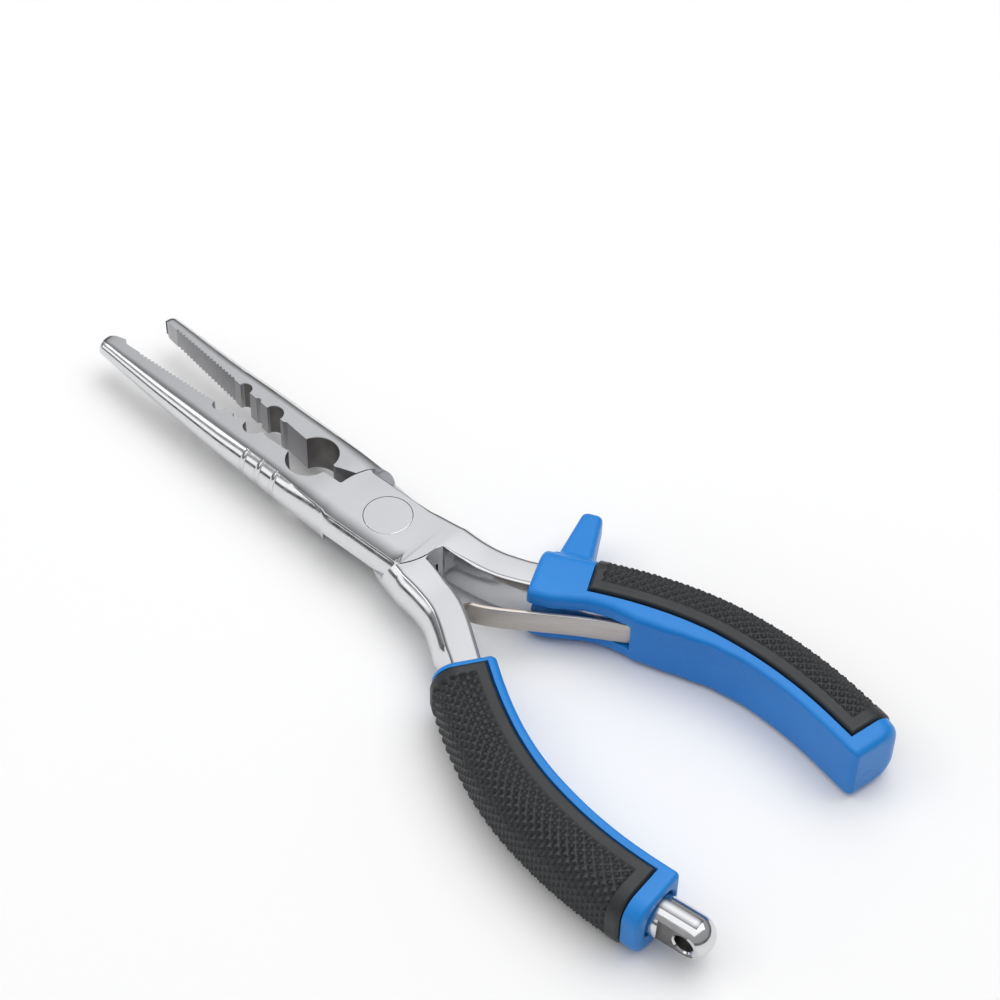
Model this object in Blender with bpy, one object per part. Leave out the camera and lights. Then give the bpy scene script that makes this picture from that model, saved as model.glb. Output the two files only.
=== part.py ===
"""Long-nose fishing pliers: two lap-jointed steel levers, a leaf spring and two sleeved grips.

Every piece is drawn in the frame of its own closed lever, in millimetres: the pivot axis is the
origin, the jaws run towards -X, the handles towards +X, and lever A keeps its jaw on -Y and its
handle on +Y. Lever B is the same lever turned over about X. Two empties on the pivot axis open
the levers to the pose they lie in.
"""
import math

import bmesh
import bpy
from mathutils import Vector

MM = 0.001

# Driving dimensions, in millimetres and degrees
OPEN_HALF = 3.9            # each lever's turn from closed, as it lies
HALF_THICK = 5.5           # half of the thickness at the pivot; the mid-plane is at this height
GAP = 0.3                  # clearance between pieces that touch
CHEEK_R = 14.2             # radius of the cheeks' round shoulders
LAP_CUT_R = CHEEK_R + 0.35
FLANK_OUT = 8.5            # jaw-side flank of the joint, from the axis
FLANK_IN = 7.3             # tang-side flank of the joint

JAW_TIP_X = -89.4          # front of jaw A with its hook tooth
TOOTH_X = -84.9            # back of the hook tooth
PLAIN_TIP_X = -83.9        # front of jaw B
JAW_WIDTHS = {             # (x, width of the jaw's flat top from the closing line)
    "a": [(-89.4, 2.9), (-84.0, 3.4), (-76.0, 4.0), (-68.0, 4.6), (-60.0, 5.05), (-52.0, 5.5), (-44.0, 5.9),
          (-36.0, 6.25), (-30.0, 6.6), (-25.0, 7.0), (-20.0, 7.5), (-14.0, 7.95), (-9.0, 8.25), (0.0, 8.5)],
    "b": [(-84.0, 2.1), (-76.0, 2.65), (-68.0, 3.1), (-60.0, 3.65), (-52.0, 4.5), (-44.0, 5.3), (-36.0, 5.9),
          (-30.0, 6.5), (-25.0, 7.0), (-20.0, 7.5), (-14.0, 7.95), (-9.0, 8.25), (0.0, 8.5)],
}
JAW_TIP_HALF = 2.45        # half thickness at the tip
BULGE_RATIO = 0.6          # how far the half-round outer side stands out, from its half height
BULGE_MAX = 2.4
FLANK_BULGE = 1.7          # the same at the joint
TAPER_START_X = -17.0      # the jaws get thinner from here to the tip

WIRE_HOLE = (-24.9, 5.3)   # x and radius of the holes that both jaws share
WIRE_HOLE_BACK = 0.7       # its centre lies this far past the closing line, so the shared hole is a lens
PIPE_NOTCH = (-41.7, 2.45)
FINE_NOTCH = (-47.4, 0.8)
SHOT_NOTCH = (-52.5, 1.8)
SERRATION_START = -56.5
SERRATION_END = -80.5
SERRATION_PITCH = 1.2
SERRATION_DEPTH = 0.45

RIVET_HEAD_R = 5.5
RIVET_SHANK_R = 4.2
RIVET_HEAD_T = 2.0

TANG_WIDTH = 7.0
TANG_HALF = 5.2
TANG_BULGE_END = {"a": 19.3, "b": 28.5}     # where its half-round outer side has died out
TANG_PATH = [(14.9, 5.0), (21.0, 5.1), (27.0, 6.0), (32.0, 7.9), (37.0, 10.4), (44.0, 14.0),
             (52.0, 18.0), (61.0, 21.6), (71.0, 24.4), (82.0, 25.8), (93.0, 25.9), (104.0, 24.6)]

GRIP_PATH = [(34.2, 10.8), (39.0, 13.0), (44.0, 15.5), (50.0, 18.4), (57.0, 21.3), (65.0, 23.9),
             (74.0, 25.8), (84.0, 26.6), (94.0, 26.4), (104.0, 25.2), (118.0, 22.4)]
GRIP_HALF = 7.4            # half thickness of the hard sleeve
GRIP_INNER = 7.5           # from the grip's centre line to its inner side
SWELL = [(0.0, 1.3), (5.0, 1.4), (9.0, 0.7), (13.0, 0.1), (18.0, 0.3), (22.0, 1.0), (25.0, 1.8),
         (32.0, 1.9), (38.0, 1.4), (46.0, 0.5), (54.0, 0.0), (95.0, 0.0)]  # grip A's, along the path
GRIP_OUTER = {"a": 6.1, "b": 6.6}   # to its outer side, beside the pad
PAD_PROUD = 0.8            # how far the pad stands over the sleeve
PAD_THICK = 1.7
PAD_EDGE = 5.0             # the pad's free edge, from the centre line, on the inner side
COLLAR_START = {"a": 0.0, "b": 9.2}      # distances along the grip path
PAD_START = {"a": 12.4, "b": 11.0}
PAD_END = {"a": 82.6, "b": 77.4}
SLEEVE_END = {"a": 87.5, "b": 81.6}

SPIKE_BASE = (38.0, 18.6)
SPIKE_TIP = (31.4, 33.2)
SPIKE_BASE_W = 8.4
SPIKE_TIP_W = 4.4
SPIKE_BASE_HALF = 4.6
SPIKE_TIP_HALF = 3.0

STUD_R = 4.6
STUD_FLAT = 3.3            # from the stud's axis to each flat
STUD_HOLE_R = 2.2
STUD_PATH = [(104.0, 24.6), (111.0, 22.6), (124.4, 19.4)]

SPRING_PIN = (58.9, 15.6)
SPRING_PATH = [(0.7, -1.0), (-3.9, -3.9), (-10.9, -8.3), (-17.4, -12.8), (-23.4, -17.0),
               (-27.9, -19.7), (-31.6, -21.2)]      # from the pin
SPRING_T = 0.9
SPRING_HALF = 3.0
SPRING_EYE_R = 1.6
SPRING_PIN_R = 0.8
SLOT_HALF = 3.7            # half height of the spring's channel in grip A
SPRING_SLOT = [(30.0, 5.5), (30.0, -4.0), (58.5, 2.0), (57.1, 10.4), (57.9, 11.7), (61.2, 13.8),
               (61.5, 16.0), (60.6, 18.2), (55.5, 17.2), (48.0, 13.6), (39.0, 9.2)]    # its plan


def clear_scene():
    for item in list(bpy.data.objects):
        bpy.data.objects.remove(item, do_unlink=True)


def material(name, color, roughness, metallic):
    made = bpy.data.materials.new(name)
    made.use_nodes = True
    shader = made.node_tree.nodes["Principled BSDF"]
    shader.inputs["Base Color"].default_value = (*color, 1.0)
    shader.inputs["Roughness"].default_value = roughness
    shader.inputs["Metallic"].default_value = metallic
    return made


def lever_frame(name, turned_over, opening):
    """An empty on the pivot axis, at the mid-plane, that carries one lever's pieces."""
    frame = bpy.data.objects.new(name, None)
    bpy.context.scene.collection.objects.link(frame)
    frame.location = (0.0, 0.0, HALF_THICK * MM)
    frame.rotation_euler = (math.pi if turned_over else 0.0, 0.0, math.radians(opening))
    return frame


def add_object(name, bm, frame, surface=None):
    bmesh.ops.recalc_face_normals(bm, faces=bm.faces)
    mesh = bpy.data.meshes.new(name)
    bm.to_mesh(mesh)
    bm.free()
    item = bpy.data.objects.new(name, mesh)
    bpy.context.scene.collection.objects.link(item)
    item.parent = frame
    if surface is None:
        item.hide_render = True
        item.display_type = "WIRE"
    else:
        mesh.materials.append(surface)
        mesh.shade_smooth()
        mesh.set_sharp_from_angle(angle=math.radians(35.0))
    return item


def combine(item, other, operation):
    step = item.modifiers.new(operation.lower() + "_" + other.name, "BOOLEAN")
    step.operation = operation
    step.solver = "EXACT"
    step.object = other


def cut(item, tool):
    combine(item, tool, "DIFFERENCE")


def lerp(a, b, t):
    return a + (b - a) * t


def smooth_path(points, count):
    """Catmull-Rom curve through the points: count + 1 places with their headings."""
    padded = [2 * Vector(points[0]) - Vector(points[1])]
    padded += [Vector(p) for p in points]
    padded.append(2 * Vector(points[-1]) - Vector(points[-2]))

    def place(t):
        index = min(int(t), len(points) - 2)
        f = t - index
        p0, p1, p2, p3 = padded[index:index + 4]
        return 0.5 * (2 * p1 + (p2 - p0) * f + (2 * p0 - 5 * p1 + 4 * p2 - p3) * f * f
                      + (3 * p1 - p0 - 3 * p2 + p3) * f * f * f)

    fine = [place(i * (len(points) - 1) / 600) for i in range(601)]
    length = [0.0]
    for a, b in zip(fine, fine[1:]):
        length.append(length[-1] + (b - a).length)
    out = []
    j = 0
    for i in range(count + 1):
        want = length[-1] * i / count
        while j < len(fine) - 2 and length[j + 1] < want:
            j += 1
        t = (want - length[j]) / (length[j + 1] - length[j])
        ahead = fine[j + 1] - fine[j]
        out.append((fine[j].lerp(fine[j + 1], t), math.atan2(ahead.y, ahead.x), want))
    return out


def path_at(path, distance):
    """Place and heading at a distance along a path from smooth_path."""
    for (p, h, s), (q, k, e) in zip(path, path[1:]):
        if distance <= e + 1e-9:
            t = (distance - s) / (e - s)
            return p.lerp(q, t), lerp(h, k, t)
    return path[-1][0], path[-1][1]


def corner(cu, cz, ru, rz, start, steps):
    """Points of a quarter ellipse about (cu, cz), from the given quadrant's start angle."""
    out = []
    for i in range(steps + 1):
        angle = math.radians(start + 90.0 * i / steps)
        out.append((cu + ru * math.cos(angle), cz + rz * math.sin(angle)))
    return out


def rounded_box(u0, u1, half, low_edge, high_edge, steps=3):
    """Cross-section from u0 to u1 across; the edges are (across, down) radii at each side."""
    (a0, b0), (a1, b1) = low_edge, high_edge
    ring = corner(u1 - a1, half - b1, a1, b1, 0, steps)
    ring += corner(u0 + a0, half - b0, a0, b0, 90, steps)
    ring += corner(u0 + a0, -half + b0, a0, b0, 180, steps)
    ring += corner(u1 - a1, -half + b1, a1, b1, 270, steps)
    return ring


def place_ring(ring, place, heading):
    """A cross-section's points in space, standing across the heading."""
    across = Vector((-math.sin(heading), math.cos(heading)))
    return [Vector((place.x + across.x * u, place.y + across.y * u, z)) * MM for u, z in ring]


def loft(rings, bm=None, caps=(True, True)):
    bm = bm or bmesh.new()
    rows = [[bm.verts.new(p) for p in ring] for ring in rings]
    for row, after in zip(rows, rows[1:]):
        for i in range(len(row)):
            j = (i + 1) % len(row)
            bm.faces.new((row[i], row[j], after[j], after[i]))
    if caps[0]:
        bm.faces.new(rows[0])
    if caps[1]:
        bm.faces.new(list(reversed(rows[-1])))
    return bm, rows


def prism(outline, z0, z1):
    """An outline in the plan, extruded from z0 to z1."""
    rings = [[Vector((x, y, z)) * MM for x, y in outline] for z in (z0, z1)]
    return loft(rings)[0]


def disc_outline(x, y, radius, count):
    turn = 2 * math.pi / count
    return [(x + radius * math.cos(i * turn), y + radius * math.sin(i * turn)) for i in range(count)]


def table_at(table, x):
    """Linear interpolation in (position, value) pairs."""
    for (x0, v0), (x1, v1) in zip(table, table[1:]):
        if x <= x1:
            return lerp(v0, v1, max(0.0, (x - x0) / (x1 - x0)))
    return table[-1][1]


def jaw_bulge(x):
    """How far the outer side stands out past the flat top."""
    front = min(BULGE_MAX, BULGE_RATIO * jaw_half(x))
    return lerp(front, FLANK_BULGE, min(1.0, max(0.0, (x + 26.0) / 12.0)))


def jaw_half(x):
    t = max(0.0, (TAPER_START_X - x) / (TAPER_START_X + 88.0))
    return lerp(HALF_THICK, JAW_TIP_HALF, t)


def jaw_stations(tag):
    """(x, low side, high side) of the jaw's cross-sections, from the tip to the joint."""
    inner = -GAP / 2

    def outer(x):
        return -table_at(JAW_WIDTHS[tag], x) - jaw_bulge(x)

    if tag == "a":
        tip = [(JAW_TIP_X, outer(-88.0) + 0.6, -1.9), (-88.6, outer(-87.5), -1.45),
               (TOOTH_X - 0.5, outer(-85.4), 0.75), (TOOTH_X, outer(TOOTH_X), 0.75),
               (TOOTH_X + 0.7, outer(-84.2), inner)]
    else:
        tip = [(PLAIN_TIP_X, outer(-83.9) + 0.6, inner - 0.4), (PLAIN_TIP_X + 0.6, outer(-83.3), inner)]
    stations = (-76.0, -68.0, -60.0, -52.0, -44.0, -36.0, -30.0, -25.0, -20.0, -17.0, -14.6)
    return tip + [(x, outer(x), inner) for x in stations]


def lever_rings(tag):
    """Cross-sections of the whole bar: jaw, cheek and tang, from the tip to the tang's end."""
    rings = []

    def across(x, low, high, half, low_edge, high_edge):
        ring = rounded_box(low, high, half, low_edge, high_edge)
        rings.append(place_ring(ring, Vector((x, 0.0)), 0.0))

    crisp = (0.12, 0.12)
    for x, low, high in jaw_stations(tag):
        across(x, low, high, jaw_half(x), (jaw_bulge(x), jaw_half(x) - 0.05), crisp)
    flank = (FLANK_BULGE + 0.6, HALF_THICK - 0.05)
    for angle in (1.0, 10.0, 20.0, 30.9):
        x = -CHEEK_R * math.cos(math.radians(angle))
        high = CHEEK_R * math.sin(math.radians(angle))
        across(x, -table_at(JAW_WIDTHS[tag], x) - FLANK_BULGE, high, HALF_THICK, flank, crisp)
    for x, high, inner_edge in ((-6.0, FLANK_IN, (0.5, 0.5)), (-1.0, FLANK_IN, (0.5, 0.5)),
                                (3.0, 9.6, (2.0, HALF_THICK - 0.05)), (6.0, 9.9, (2.4, HALF_THICK - 0.05))):
        across(x, -FLANK_OUT - FLANK_BULGE, high, HALF_THICK, flank, inner_edge)
    for angle in (36.77, 28.0, 19.0, 10.0, 1.0):
        x = CHEEK_R * math.cos(math.radians(angle))
        low = -CHEEK_R * math.sin(math.radians(angle))
        high = lerp(FLANK_IN, 8.4, (x - 6.0) / 9.0) + BULGE_MAX
        across(x, low, high, HALF_THICK, crisp, (BULGE_MAX, HALF_THICK - 0.05))
    tang = smooth_path(TANG_PATH, 30)
    for place, heading, distance in tang:
        half = lerp(HALF_THICK, TANG_HALF, min(1.0, distance / 8.0))
        fade = min(1.0, max(0.0, (TANG_BULGE_END[tag] - distance) / 5.0))
        swell = lerp(1.4, BULGE_MAX, fade)
        ring = rounded_box(-TANG_WIDTH / 2, TANG_WIDTH / 2 + fade * BULGE_MAX, half, (1.2, 1.2),
                           (swell, lerp(1.4, half - 0.05, fade)))
        rings.append(place_ring(ring, place, heading))
    return rings


def stud_rings():
    """The round lanyard stud that lever B's tang ends in."""
    path = smooth_path(STUD_PATH, 24)
    length = path[-1][2]
    rings = []
    for distance in (0.0, 3.0, 6.0, 9.0, 12.0, length - STUD_R):
        place, heading = path_at(path, distance)
        rings.append(place_ring(disc_outline(0.0, 0.0, STUD_R, 24), place, heading))
    for angle in (20.0, 40.0, 60.0, 78.0):
        place, heading = path_at(path, length - STUD_R + STUD_R * math.sin(math.radians(angle)))
        radius = STUD_R * math.cos(math.radians(angle))
        rings.append(place_ring(disc_outline(0.0, 0.0, radius, 24), place, heading))
    return rings, path


def serration_comb():
    """The plan outline of a saw-toothed strip over the closing line."""
    outline = []
    x = SERRATION_START
    while x - SERRATION_PITCH > SERRATION_END:
        outline.append((x, -GAP / 2 + 0.05))
        outline.append((x - SERRATION_PITCH / 2, -GAP / 2 - SERRATION_DEPTH))
        x -= SERRATION_PITCH
    outline.append((x, -GAP / 2 + 0.05))
    outline.append((x, 2.0))
    outline.append((SERRATION_START, 2.0))
    return outline


def jaw_cutters(tag, frame):
    """What is taken out of a jaw's inner side, and the half that the joint laps over."""
    deep = HALF_THICK + 2.0
    tools = []

    def tool(name, outline, z0=-deep, z1=deep):
        tools.append(add_object("cut_" + name + "_" + tag, prism(outline, z0, z1), frame))

    tool("wire_hole", disc_outline(WIRE_HOLE[0], WIRE_HOLE_BACK, WIRE_HOLE[1], 32))
    tool("pipe_notch", disc_outline(PIPE_NOTCH[0], 0.0, PIPE_NOTCH[1], 20))
    tool("fine_notch", disc_outline(FINE_NOTCH[0], 0.0, FINE_NOTCH[1], 12))
    tool("shot_notch", disc_outline(SHOT_NOTCH[0], 0.0, SHOT_NOTCH[1], 16))
    tool("relief", [(-40.0, 1.0), (-37.2, -0.65), (-26.5, -0.65), (-25.5, 1.0)])
    tool("serrations", serration_comb())
    tool("cutter_relief", [(-19.6, 1.0), (-19.0, -0.1), (-13.6, -2.8), (-13.0, 1.0)], -deep, -0.2)
    tool("lap", disc_outline(0.0, 0.0, LAP_CUT_R, 72), -deep, 0.1)
    seat = HALF_THICK - RIVET_HEAD_T - GAP
    stepped = [(RIVET_SHANK_R + 0.2, -deep), (RIVET_SHANK_R + 0.2, seat), (RIVET_HEAD_R + 0.2, seat),
               (RIVET_HEAD_R + 0.2, deep)]
    tools.append(add_object("cut_rivet_seat_" + tag, turned(stepped), frame))
    return tools


def turned(profile, count=40):
    """A solid turned about the pivot axis from (radius, height) pairs."""
    rings = [[Vector((x, y, z)) * MM for x, y in disc_outline(0.0, 0.0, r, count)] for r, z in profile]
    return loft(rings)[0]


def make_lever(tag, frame, surface):
    bm = loft(lever_rings(tag))[0]
    lever = add_object("lever_" + tag, bm, frame, surface)
    if tag == "b":
        rings, path = stud_rings()
        stud = add_object("stud_form", loft(rings)[0], frame)
        combine(lever, stud, "UNION")
        hole_place, heading = path_at(path, path[-1][2] - STUD_R - 0.4)
        cut(lever, add_object("cut_flat", flat_cutter(hole_place, heading, 1.0), frame))
        cut(lever, add_object("cut_lanyard", cross_hole(hole_place, heading), frame))
    else:
        scallop = prism(disc_outline(*SPRING_PIN, SPRING_EYE_R + 0.6, 20), -HALF_THICK - 1, HALF_THICK + 1)
        cut(lever, add_object("cut_scallop", scallop, frame))
    for tool in jaw_cutters(tag, frame):
        cut(lever, tool)
    return lever


def flat_cutter(place, heading, side):
    """A block that mills one flat on the stud beside the lanyard hole."""
    ahead = Vector((math.cos(heading), math.sin(heading)))
    across = Vector((-ahead.y, ahead.x)) * side
    corners = [place - ahead * 6.0 + across * STUD_FLAT, place + ahead * 9.0 + across * STUD_FLAT,
               place + ahead * 9.0 + across * 7.0, place - ahead * 4.5 + across * 7.0]
    return prism([(c.x, c.y) for c in corners], -STUD_R - 1.0, STUD_R + 1.0)


def cross_hole(place, heading):
    """A round bar across the stud, level with its axis."""
    ahead = Vector((math.cos(heading), math.sin(heading), 0.0))
    across = Vector((-ahead.y, ahead.x, 0.0))
    centre = Vector((place.x, place.y, 0.0))
    rings = []
    for reach in (-7.0, 7.0):
        ring = []
        for i in range(20):
            angle = 2 * math.pi * i / 20
            spot = centre + across * reach + ahead * (STUD_HOLE_R * math.cos(angle))
            spot.z += STUD_HOLE_R * math.sin(angle)
            ring.append(spot * MM)
        rings.append(ring)
    return loft(rings)[0]


def make_rivet(frame, surface):
    """Shank and two flush heads, turned about the pivot axis."""
    inner = HALF_THICK - RIVET_HEAD_T
    profile = [(RIVET_HEAD_R, HALF_THICK), (RIVET_HEAD_R, inner), (RIVET_SHANK_R, inner),
               (RIVET_SHANK_R, -inner), (RIVET_HEAD_R, -inner), (RIVET_HEAD_R, -HALF_THICK)]
    return add_object("pivot_rivet", turned(profile), frame, surface)


def inner_reach(tag, distance):
    """How far the sleeve's inner side is from the centre line, at a distance along it."""
    if tag == "b":
        return GRIP_INNER
    for (s0, v0), (s1, v1) in zip(SWELL, SWELL[1:]):
        if distance <= s1:
            t = (distance - s0) / (s1 - s0)
            return GRIP_INNER + lerp(v0, v1, t * t * (3 - 2 * t))
    return GRIP_INNER


def grip_section(tag, reach, outer_cut, inset=0.0):
    """Cross-section of the hard sleeve. outer_cut lowers the part that the pad covers."""
    high = GRIP_OUTER[tag] - outer_cut - inset
    low = -reach + inset
    edge_z = GRIP_HALF - inset
    deep = edge_z - outer_cut
    ring = corner(high - 4.6, deep - 4.6, 4.6, 4.6, 0, 5)
    ring += [(-PAD_EDGE, deep), (-PAD_EDGE - 0.2, edge_z)]
    fillet = 1.8 - inset
    ring += corner(low + fillet, edge_z - fillet, fillet, fillet, 90, 3)
    ring += corner(low + fillet, -edge_z + fillet, fillet, fillet, 180, 3)
    ring += [(-PAD_EDGE - 0.2, -edge_z), (-PAD_EDGE, -deep)]
    ring += corner(high - 4.6, -deep + 4.6, 4.6, 4.6, 270, 5)
    return ring


def bore_section(reach, half, edge):
    """The sleeve's inside around the tang, with as many points as grip_section."""
    ring = corner(reach - edge, half - edge, edge, edge, 0, 5)
    ring += [(0.4, half), (-0.4, half)]
    ring += corner(-reach + edge, half - edge, edge, edge, 90, 3)
    ring += corner(-reach + edge, -half + edge, edge, edge, 180, 3)
    ring += [(-0.4, -half), (0.4, -half)]
    ring += corner(reach - edge, -half + edge, edge, edge, 270, 5)
    return ring


def stations_between(start, end, spacing):
    count = max(1, math.ceil((end - start) / spacing))
    return [lerp(start, end, i / count) for i in range(count + 1)]


def sleeve_rings(tag, path):
    """Outside of a sleeve, with the pad's seat sunk into it."""
    start, end = COLLAR_START[tag], SLEEVE_END[tag]
    seat = PAD_THICK - PAD_PROUD + GAP
    plan = [(start, 0.0, 0.8), (start + 0.8, 0.0, 0.0)]
    plan += [(s, 0.0, 0.0) for s in stations_between(start + 4.0, PAD_START[tag] - 3.0, 3.5) if tag == "a"]
    plan += [(PAD_START[tag] - GAP, 0.0, 0.0), (PAD_START[tag] - GAP + 0.02, seat, 0.0)]
    plan += [(s, seat, 0.0) for s in stations_between(PAD_START[tag] + 1, PAD_END[tag] - 1, 5.5)]
    plan += [(PAD_END[tag] + GAP - 0.02, seat, 0.0), (PAD_END[tag] + GAP, 0.0, 0.0)]
    plan += [(end - 1.6, 0.0, 0.0), (end - 0.5, 0.0, 0.6), (end, 0.0, 1.6)]
    rings = []
    for distance, lowered, inset in plan:
        place, heading = path_at(path, distance)
        reach = inner_reach(tag, distance)
        rings.append(place_ring(grip_section(tag, reach, lowered, inset), place, heading))
    return rings


def bore_rings(tag, path):
    """The tang's channel inside a sleeve: blind on A, wide at the end for the stud on B."""
    tang = smooth_path(TANG_PATH, 60)
    start = COLLAR_START[tag]
    blind_end = PAD_END["a"] - 4.0
    stud_start = PAD_START["b"] + 60.0
    spots = [start] + stations_between(start + 4.0, blind_end if tag == "a" else stud_start - 0.5, 6.0)
    rings = []
    for distance in spots:
        place, heading = path_at(path, distance)
        offset = crossing_offset(tang, place, heading)
        ring = bore_section(TANG_WIDTH / 2 + GAP + 0.1, TANG_HALF + GAP + 0.1, 1.1)
        rings.append(place_ring([(u + offset, z) for u, z in ring], place, heading))
    if tag == "b":
        stud = smooth_path(STUD_PATH, 24)
        for distance in stations_between(stud_start, SLEEVE_END["b"], 4.0):
            place, heading = path_at(path, distance)
            offset = crossing_offset(stud, place, heading)
            reach = STUD_R + GAP + 0.15
            ring = bore_section(reach, TANG_HALF + GAP + 0.15, 2.4)
            rings.append(place_ring([(u + offset, z) for u, z in ring], place, heading))
    return rings


def crossing_offset(line, place, heading):
    """Where a centre line crosses a cross-section of the grip."""
    ahead = Vector((math.cos(heading), math.sin(heading)))
    across = Vector((-ahead.y, ahead.x))
    for (a, _, _), (b, _, _) in zip(line, line[1:]):
        low, high = (a - place).dot(ahead), (b - place).dot(ahead)
        if low <= 0.0 <= high:
            return (a.lerp(b, low / (low - high)) - place).dot(across)
    ends = [line[0][0], line[-1][0]]
    return (min(ends, key=lambda p: abs((p - place).dot(ahead))) - place).dot(across)


def make_sleeve(tag, frame, surface):
    path = smooth_path(GRIP_PATH, 120)
    outside = sleeve_rings(tag, path)
    inside = bore_rings(tag, path)
    bm = bmesh.new()
    _, out_rows = loft(outside, bm, caps=(False, tag == "a"))
    _, in_rows = loft(inside, bm, caps=(False, tag == "a"))
    join_rows(bm, out_rows[0], in_rows[0])
    if tag == "b":
        join_rows(bm, out_rows[-1], in_rows[-1])
    sleeve = add_object("grip_" + tag + "_sleeve", bm, frame, surface)
    if tag == "a":
        combine(sleeve, add_object("spike_form", spike_mesh(), frame), "UNION")
        slot = prism(SPRING_SLOT, -SLOT_HALF, SLOT_HALF)
        cut(sleeve, add_object("cut_spring_slot", slot, frame))
        pin_hole = prism(disc_outline(*SPRING_PIN, SPRING_PIN_R + GAP, 16), -5.9, 5.9)
        cut(sleeve, add_object("cut_pin_hole", pin_hole, frame))
    return sleeve


def join_rows(bm, row, other):
    for i in range(len(row)):
        j = (i + 1) % len(row)
        bm.faces.new((row[i], row[j], other[j], other[i]))


def spike_mesh():
    """The thumb spike on grip A's collar, a tapering round-cornered post."""
    base, tip = Vector(SPIKE_BASE), Vector(SPIKE_TIP)
    ahead = (tip - base).normalized()
    heading = math.atan2(ahead.y, ahead.x)
    length = (tip - base).length
    rings = []
    for t in (-0.09, 0.0, 0.5, 0.93, 0.985, 1.0):
        width = lerp(SPIKE_BASE_W, SPIKE_TIP_W, max(t, 0.0)) / 2
        half = lerp(SPIKE_BASE_HALF, SPIKE_TIP_HALF, max(t, 0.0))
        shrink = {0.985: 0.5, 1.0: 1.3}.get(t, 0.0)
        ring = rounded_box(-width + shrink, width - shrink, half - shrink, (1.2, 1.2), (1.2, 1.2))
        rings.append(place_ring(ring, base + ahead * (length * t), heading))
    return loft(rings)[0]


def pad_section(tag, steps=6):
    """The rubber pad: a C around the sleeve's outer side."""
    high = GRIP_OUTER[tag] + PAD_PROUD
    deep = GRIP_HALF + PAD_PROUD
    outer_r = 5.8
    ring = [(-PAD_EDGE + GAP, deep - 0.5), (-PAD_EDGE + GAP + 0.5, deep)]
    out = ring + list(reversed(corner(high - outer_r, deep - outer_r, outer_r, outer_r, 0, steps)))
    out += list(reversed(corner(high - outer_r, -deep + outer_r, outer_r, outer_r, 270, steps)))
    out += [(-PAD_EDGE + GAP + 0.5, -deep), (-PAD_EDGE + GAP, -deep + 0.5)]
    inner_high = high - PAD_THICK
    inner_deep = deep - PAD_THICK
    inner_r = 4.6
    out += [(-PAD_EDGE + GAP, -inner_deep)]
    out += corner(inner_high - inner_r, -inner_deep + inner_r, inner_r, inner_r, 270, steps)
    out += corner(inner_high - inner_r, inner_deep - inner_r, inner_r, inner_r, 0, steps)
    out += [(-PAD_EDGE + GAP, inner_deep)]
    return out


def make_pad(tag, frame, surface):
    path = smooth_path(GRIP_PATH, 120)
    rings = []
    for distance in stations_between(PAD_START[tag], PAD_END[tag], 4.5):
        place, heading = path_at(path, distance)
        rings.append(place_ring(pad_section(tag), place, heading))
    return add_object("grip_" + tag + "_pad", loft(rings)[0], frame, surface)


def make_spring(lever, surface):
    """A flat strip on a smooth path, with its root rolled into an eye around the pin."""
    frame = bpy.data.objects.new("spring_frame", None)
    bpy.context.scene.collection.objects.link(frame)
    frame.parent = lever
    frame.location = (SPRING_PIN[0] * MM, SPRING_PIN[1] * MM, 0.0)
    path = smooth_path(SPRING_PATH, 20)
    rings = []
    for place, heading, _ in path:
        ring = [(-SPRING_T / 2, -SPRING_HALF), (SPRING_T / 2, -SPRING_HALF),
                (SPRING_T / 2, SPRING_HALF), (-SPRING_T / 2, SPRING_HALF)]
        rings.append(place_ring(ring, place, heading))
    spring = add_object("leaf_spring", loft(rings)[0], frame, surface)
    eye = disc_outline(0.0, 0.0, SPRING_EYE_R, 24)
    combine(spring, add_object("eye_form", prism(eye, -SPRING_HALF, SPRING_HALF), frame), "UNION")
    hole = disc_outline(0.0, 0.0, SPRING_PIN_R + 0.2, 20)
    cut(spring, add_object("cut_eye", prism(hole, -SPRING_HALF - 1, SPRING_HALF + 1), frame))
    pin = prism(disc_outline(*SPRING_PIN, SPRING_PIN_R, 16), -5.6, 5.6)
    add_object("spring_pin", pin, lever, surface)


def build():
    clear_scene()
    steel = material("chrome_steel", (0.62, 0.63, 0.65), 0.25, 1.0)
    rivet_steel = material("rivet_steel", (0.60, 0.61, 0.63), 0.35, 1.0)
    spring_steel = material("spring_steel", (0.48, 0.45, 0.42), 0.4, 1.0)
    plastic = material("blue_plastic", (0.02, 0.22, 0.66), 0.35, 0.0)
    rubber = material("black_rubber", (0.03, 0.03, 0.033), 0.8, 0.0)
    frame_a = lever_frame("lever_a_frame", False, OPEN_HALF)
    frame_b = lever_frame("lever_b_frame", True, -OPEN_HALF)
    for tag, frame in (("a", frame_a), ("b", frame_b)):
        make_lever(tag, frame, steel)
        make_sleeve(tag, frame, plastic)
        make_pad(tag, frame, rubber)
    make_rivet(frame_a, rivet_steel)
    make_spring(frame_a, spring_steel)


build()
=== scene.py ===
"""The look of the fishing pliers: fine meshes, materials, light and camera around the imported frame.

Each lever's pieces are drawn in the frame of that lever when closed, in millimetres: the pivot
axis is the origin, the jaws run towards -X, the handles towards +X, and lever A keeps its jaw on
-Y and its handle on +Y. Lever B is the same lever turned over about X.
"""
import math

import bmesh
import bpy
from mathutils import Matrix, Vector


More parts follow.
